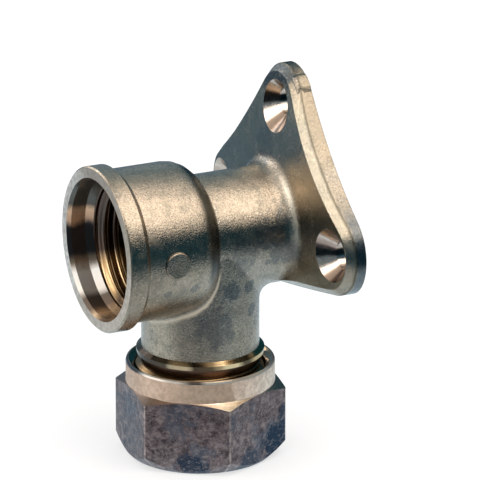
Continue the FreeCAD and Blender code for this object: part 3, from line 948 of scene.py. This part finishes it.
def cad_normals(source, target):
    """Give the target the source's smooth normals where they share faces, and the holes exact ones."""
    points = [v.co.copy() for v in source.vertices]
    triangles = [tuple(p.vertices) for p in source.polygons]
    tree = BVHTree.FromPolygons(points, triangles)
    corners = smooth_corners(source)
    normals = []
    for polygon in target.polygons:
        _, _, index, _ = tree.find_nearest(polygon.center)
        face = source.polygons[index]
        shared = polygon.normal.dot(face.normal) > SHARED_COSINE
        for corner in polygon.loop_indices:
            place = target.vertices[target.loops[corner].vertex_index].co
            normal = round_normal(place, polygon.normal)
            if normal is None and shared:
                a, b, c = (points[v] for v in face.vertices)
                first = face.loop_start
                normal = barycentric_transform(place, a, b, c, *corners[first:first + 3])
            normals.append((normal or polygon.normal.copy()).normalized())
    target.normals_split_custom_set(normals)


def welded_copy(source):
    """Copy of a mesh whose faces share their points."""
    mesh = source.copy()
    work = bmesh.new()
    work.from_mesh(mesh)
    bmesh.ops.remove_doubles(work, verts=work.verts, dist=WELD_M)
    work.to_mesh(mesh)
    work.free()
    return mesh


def carved(piece, tools):
    """Mesh of a piece after the booleans with the tools, in triangles; the tools are deleted."""
    for operation, tool in tools:
        step = piece.modifiers.new(tool.name, "BOOLEAN")
        step.operation = operation
        step.solver = "EXACT"
        step.object = tool
    mesh = bpy.data.meshes.new_from_object(piece.evaluated_get(bpy.context.evaluated_depsgraph_get()))
    piece.modifiers.clear()
    for _, tool in tools:
        bpy.data.objects.remove(tool)
    work = bmesh.new()
    work.from_mesh(mesh)
    bmesh.ops.triangulate(work, faces=[face for face in work.faces if len(face.verts) > 3])
    for face in work.faces:
        face.smooth = True
    work.to_mesh(mesh)
    work.free()
    return mesh


def body_piece():
    """The forging: the CAD node's faces with the lap, the nicks and the fine holes and mouth."""
    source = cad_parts["elbow_body"].data
    piece = new_object("elbow_forging", welded_copy(source), "elbow")
    tools = [("UNION", forging_lap())]
    tools += [("DIFFERENCE", nick_cutter(*nick)) for nick in NICKS]
    tools += [("DIFFERENCE", hole_cutter(hole)) for hole in HOLES]
    tools.append(("DIFFERENCE", mouth_cutter()))
    mesh = carved(piece, tools)
    mesh.materials.clear()
    for material in body_materials():
        mesh.materials.append(material)
    for polygon in mesh.polygons:
        polygon.material_index = body_kind(polygon.center, polygon.normal)
    cad_normals(source, mesh)
    mesh.name = "elbow_forging"
    piece.data = mesh
    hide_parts("elbow_body")


# Threads
def thread_wave(phase):
    """0 at the root, 1 at the crest of a rounded 55 degree thread, over one pitch of phase 0 to 1."""
    rise = 1.0 - np.abs(phase * 2.0 - 1.0)
    return 0.5 - 0.5 * np.cos(np.pi * np.clip((rise - THREAD_FLAT) / (1.0 - 2.0 * THREAD_FLAT), 0.0, 1.0))


def thread_ring(name, material, root_r, crest_r, span, axis):
    """Closed ring on the body whose face is a right-hand thread along the socket's or the branch's axis."""
    out = math.copysign(1.0, crest_r - root_r)
    backing_r = root_r - out * THREAD_BACKING
    root_r += out * THREAD_LIFT
    rows = int(round((span[1] - span[0]) / PITCH * THREAD_ROWS_A_TURN))
    turn = np.linspace(0.0, FULL_TURN, THREAD_COLUMNS, endpoint=False)
    along = np.linspace(span[0], span[1], rows)
    sense = -1.0 if axis == "y" else 1.0
    phase = (along[:, None] / PITCH - sense * turn[None, :] / FULL_TURN) % 1.0
    fade = np.clip(np.minimum(along - span[0], span[1] - along) / THREAD_FADE, 0.0, 1.0)[:, None]
    radius = root_r + (crest_r - root_r) * thread_wave(phase) * fade
    backs = np.full((2, THREAD_COLUMNS), backing_r)
    radius = np.concatenate([radius, backs])
    height = np.concatenate([along, [span[1], span[0]]])[:, None] * np.ones((1, THREAD_COLUMNS))
    if axis == "y":
        points = np.stack([radius * np.cos(turn), height, radius * np.sin(turn)], axis=2)
    else:
        points = np.stack([radius * np.cos(turn), BRANCH_Y + radius * np.sin(turn), height], axis=2)
    mesh = mesh_from(name, points.reshape(-1, 3), grid_faces(len(radius), THREAD_COLUMNS, closed=True))
    face_outward(mesh, THREAD_CREASE_DEGREES)
    mesh.materials.append(material)
    new_object(name, mesh, "elbow")


# Nut
def nut_columns():
    """Points round the hexagon as angles and outer radii, dense at the rounded corners."""
    half_side = math.radians(HALF_SIDE_DEGREES)
    apothem = NUT_FLATS / 2.0
    round_centre = (apothem - NUT_CORNER_ROUND) / math.cos(half_side)
    columns = []
    for side in range(SIDES):
        base = math.radians(NUT_TURN_DEGREES + 2.0 * HALF_SIDE_DEGREES * side)
        for bend in np.linspace(-half_side, half_side, CORNER_POINTS):
            px = round_centre + NUT_CORNER_ROUND * math.cos(bend)
            py = NUT_CORNER_ROUND * math.sin(bend)
            start = math.atan2(py, px)
            columns.append((base + start, math.hypot(px, py)))
        for step in range(1, FLAT_STEPS):
            angle = start + 2.0 * (half_side - start) * step / FLAT_STEPS
            columns.append((base + angle, apothem / math.cos(angle - half_side)))
    return np.array(columns).T


def nut_rows(turn, outer):
    """Rings of the nut's skin as (radii, heights, kind of the faces up to the next ring)."""
    ones = np.ones(len(turn))
    chamfer_z = COLLAR_END_Z - np.maximum(outer - COLLAR_R, 0.0) * NUT_CHAMFER_SLOPE
    base_z = FLOOR_Z + np.maximum(outer - NUT_BASE_R, 0.0)
    rows = [
        (NUT_LEAD_R - LEAD_EDGE_IN, NUT_TOP_Z - LEAD_EDGE_IN, NUT_BORE),
        (NUT_LEAD_R + LEAD_EDGE_OUT, NUT_TOP_Z, RIM),
        (COLLAR_R - RIM_ROUND, NUT_TOP_Z, RIM),
        (COLLAR_R - RIM_ROUND_MIDDLE, NUT_TOP_Z - RIM_ROUND_MIDDLE, RIM),
        (COLLAR_R, NUT_TOP_Z - RIM_ROUND, COLLAR),
        (COLLAR_R, COLLAR_END_Z + COLLAR_FOOT, COLLAR),
        (COLLAR_R + CHAMFER_START[0], COLLAR_END_Z + CHAMFER_START[1], CHAMFER),
    ]
    for share in CHAMFER_SHARES:
        z = COLLAR_END_Z + (chamfer_z - COLLAR_END_Z) * share
        rows.append((COLLAR_R + (outer - COLLAR_R) * share, z, CHAMFER))
    for share in FLAT_SHARES:
        rows.append((outer, chamfer_z - (chamfer_z - base_z) * share, FLAT))
    for share in BASE_SHARES:
        rows.append((outer + (NUT_BASE_R - outer) * share, base_z + (FLOOR_Z - base_z) * share, FLAT))
    rows += [
        (NUT_BASE_R - BASE_EDGE, FLOOR_Z, FLAT),
        (NUT_PIPE_R + PIPE_EDGE_BREAK, FLOOR_Z, FLAT),
        (NUT_PIPE_R + PIPE_EDGE_END[0], FLOOR_Z + PIPE_EDGE_END[1], FLAT),
        (NUT_PIPE_R, FLOOR_Z + PIPE_EDGE_BREAK, NUT_BORE),
        (NUT_PIPE_R, NUT_SEAT_END_Z, NUT_BORE),
        (NUT_BORE_CREST_R - SEAT_EDGE, NUT_SEAT_TOP_Z, NUT_BORE),
        (NUT_BORE_ROOT_R, NUT_SEAT_TOP_Z + SEAT_STEP, NUT_BORE),
    ]
    lead_end = NUT_TOP_Z - (NUT_LEAD_R - NUT_BORE_ROOT_R)
    thread = np.linspace(NUT_SEAT_TOP_Z + NUT_THREAD_START, lead_end, NUT_THREAD_ROWS)
    for z in thread:
        fade = np.clip(min(z - thread[0], thread[-1] - z) / NUT_THREAD_FADE, 0.0, 1.0)
        phase = (z / PITCH - turn / FULL_TURN + NUT_THREAD_PHASE) % 1.0
        radius = NUT_BORE_ROOT_R + (NUT_BORE_CREST_R - NUT_BORE_ROOT_R) * thread_wave(phase) * fade
        rows.append((radius, z, NUT_BORE))
    return [(radius * ones, z * ones, kind) for radius, z, kind in rows]


def nut_piece():
    """Hexagon nut with collar, chamfers, coned seat and inner thread as one closed skin."""
    turn, outer = nut_columns()
    rows = nut_rows(turn, outer)
    count = len(turn)
    points = []
    wear = []
    corner = np.array([1.0 if column % SIDE_POINTS in RUBBED_POINTS else 0.0 for column in range(count)])
    for radius, z, kind in rows:
        points.append(np.stack([radius * np.cos(turn), BRANCH_Y + radius * np.sin(turn), z], axis=1))
        wear.append(corner if kind == FLAT else np.zeros(count))
    mesh = mesh_from("nut_skin", np.concatenate(points), grid_faces(len(rows), count, closed=True))
    for material in nut_materials():
        mesh.materials.append(material)
    mesh.polygons.foreach_set("material_index", np.repeat([kind for _, _, kind in rows], count))
    face_outward(mesh, NUT_CREASE_DEGREES)
    mesh.attributes.new("wear", "FLOAT", "POINT").data.foreach_set("value", np.concatenate(wear))
    piece = new_object("nut_skin", mesh, "nut")
    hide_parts("compression_nut")


# Stage: floor, light and camera
def build_world():
    """Even white surroundings."""
    world = bpy.data.worlds.new("studio")
    bpy.context.scene.world = world
    world.use_nodes = True
    background = world.node_tree.nodes["Background"]
    background.inputs["Color"].default_value = (*WHITE, 1.0)
    background.inputs["Strength"].default_value = WORLD_STRENGTH


def build_floor():
    """Pale floor under the nut, which glows a little for the rays that see the background."""
    corners = ((-1.0, -1.0), (1.0, -1.0), (1.0, 1.0), (-1.0, 1.0))
    points = [(x * FLOOR_HALF, y * FLOOR_HALF, FLOOR_Z - FLOOR_GAP) for x, y in corners]
    mesh = mesh_from("floor", points, [(0, 1, 2, 3)])
    floor = placed("floor", mesh)
    n = Nodes("floor")
    n.feed(n.shader.inputs["Base Color"], FLOOR_COLOUR)
    n.feed(n.shader.inputs["Roughness"], FLOOR_ROUGHNESS)
    n.feed(n.shader.inputs["Specular IOR Level"], 0.0)
    glow = n.node("Emission")
    mix = n.node("MixShader", Fac=n.math("MULTIPLY", n.background_rays(), FLOOR_GLOW))
    n.link(n.shader.outputs["BSDF"], mix.inputs[1])
    n.link(glow.outputs["Emission"], mix.inputs[2])
    n.link(mix.outputs["Shader"], n.tree.nodes["Material Output"].inputs["Surface"])
    mesh.materials.append(n.material)
    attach(floor, "olive")


def area_light(name, direction, size, power, colour):
    """Soft lamp that shines on the fitting from a direction."""
    lamp = bpy.data.lights.new(name, "AREA")
    lamp.shape = "RECTANGLE"
    lamp.size = size[0] * MM
    lamp.size_y = size[1] * MM
    lamp.energy = power
    lamp.color = colour
    holder = placed(name, lamp)
    direction = Vector(direction).normalized()
    holder.location = (Vector(LAMP_AIM) + direction * LAMP_DISTANCE) * MM
    holder.rotation_euler = direction.to_track_quat("Z", "Y").to_euler()


def build_camera():
    """Camera at the photograph's angle, with the origin at its pixel."""
    a = CAMERA_AZIMUTH
    e = CAMERA_ELEVATION
    right = Vector((math.cos(a), math.sin(a), 0.0))
    up = Vector((-math.sin(a) * math.sin(e), math.cos(a) * math.sin(e), math.cos(e)))
    back = Vector((math.sin(a) * math.cos(e), -math.cos(a) * math.cos(e), math.sin(e)))
    shift_x, shift_y = ((PICTURE_SIZE / 2.0 - pixel) / PIXELS_PER_MM for pixel in ORIGIN_PIXEL)
    target = right * shift_x - up * shift_y
    data = bpy.data.cameras.new("camera")
    data.sensor_width = SENSOR_MM
    data.lens = SENSOR_MM * CAMERA_DISTANCE * PIXELS_PER_MM / PICTURE_SIZE
    camera = placed("camera", data)
    camera.location = (target + back * CAMERA_DISTANCE) * MM
    camera.rotation_euler = back.to_track_quat("Z", "Y").to_euler()
    bpy.context.scene.camera = camera


def card(name, points, faces, colour):
    """Flag that only reflections see, so that the metal has something dark to show."""
    mesh = mesh_from(name, points, faces)
    flag = placed(name, mesh)
    material = bpy.data.materials.new(name)
    material.use_nodes = True
    tree = material.node_tree
    tree.nodes.remove(tree.nodes["Principled BSDF"])
    glow = tree.nodes.new("ShaderNodeEmission")
    glow.inputs["Color"].default_value = (*colour, 1.0)
    tree.links.new(glow.outputs["Emission"], tree.nodes["Material Output"].inputs["Surface"])
    mesh.materials.append(material)
    flag.visible_camera = False
    flag.visible_diffuse = False
    flag.visible_shadow = False
    flag.visible_transmission = False
    return flag


def card_turns(directions, steps):
    """Angles from one compass direction to another."""
    start, end = directions
    return [math.radians(start + (end - start) * step / steps) for step in range(steps + 1)]


def wall_card(name, radius, directions, elevations, colour):
    """Upright strip of a round wall between two compass directions and two elevations."""
    points = []
    for turn in card_turns(directions, WALL_CARD_STEPS):
        for elevation in elevations:
            z = max(FLOOR_Z, radius * math.tan(math.radians(elevation)))
            points.append((radius * math.cos(turn), BRANCH_Y + radius * math.sin(turn), z))
    faces = [(2 * k, 2 * k + 2, 2 * k + 3, 2 * k + 1) for k in range(WALL_CARD_STEPS)]
    card(name, points, faces, colour)


def floor_card(name, radii, directions, depth, colour):
    """Ring or sector lying on the floor, which stays under the nut as the nut comes down."""
    points = []
    for turn in card_turns(directions, FLOOR_CARD_STEPS):
        for radius in radii:
            points.append((radius * math.cos(turn), BRANCH_Y + radius * math.sin(turn), FLOOR_Z - depth))
    faces = [(2 * k, 2 * k + 1, 2 * k + 3, 2 * k + 2) for k in range(FLOOR_CARD_STEPS)]
    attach(card(name, points, faces, colour), "olive")


body_piece()
thread_ring("socket_thread",
            painted_reflection_ring("outlet_thread", PAINTED_THREAD_REFLECTIONS, SOCKET_AXIS, ALONG_SOCKET, roughness=(0.16, 0.28)),
            OUTLET_ROOT_R, OUTLET_CREST_R, THREAD_Y, "y")
thread_ring("spigot_thread",
            turned_brass("spigot_thread", SPIGOT_THREAD_SHADE_COLOUR, ALONG_BRANCH, roughness=0.24),
            SPIGOT_ROOT_R, SPIGOT_CREST_R, (SPIGOT_END_Z + SPIGOT_LEAD, BAND_END_Z - SPIGOT_RUNOUT), "z")
nut_piece()
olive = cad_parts["olive"]
olive.data.materials.clear()
olive.data.materials.append(turned_brass("olive_brass", OLIVE_COLOUR, ALONG_BRANCH, roughness=0.11))

build_world()
build_floor()
for lamp in LAMPS:
    area_light(*lamp)
for wall in WALL_CARDS:
    wall_card(*wall)
for patch in FLOOR_CARDS:
    floor_card(*patch)
build_camera()
bpy.context.scene.view_settings.view_transform = "Standard"
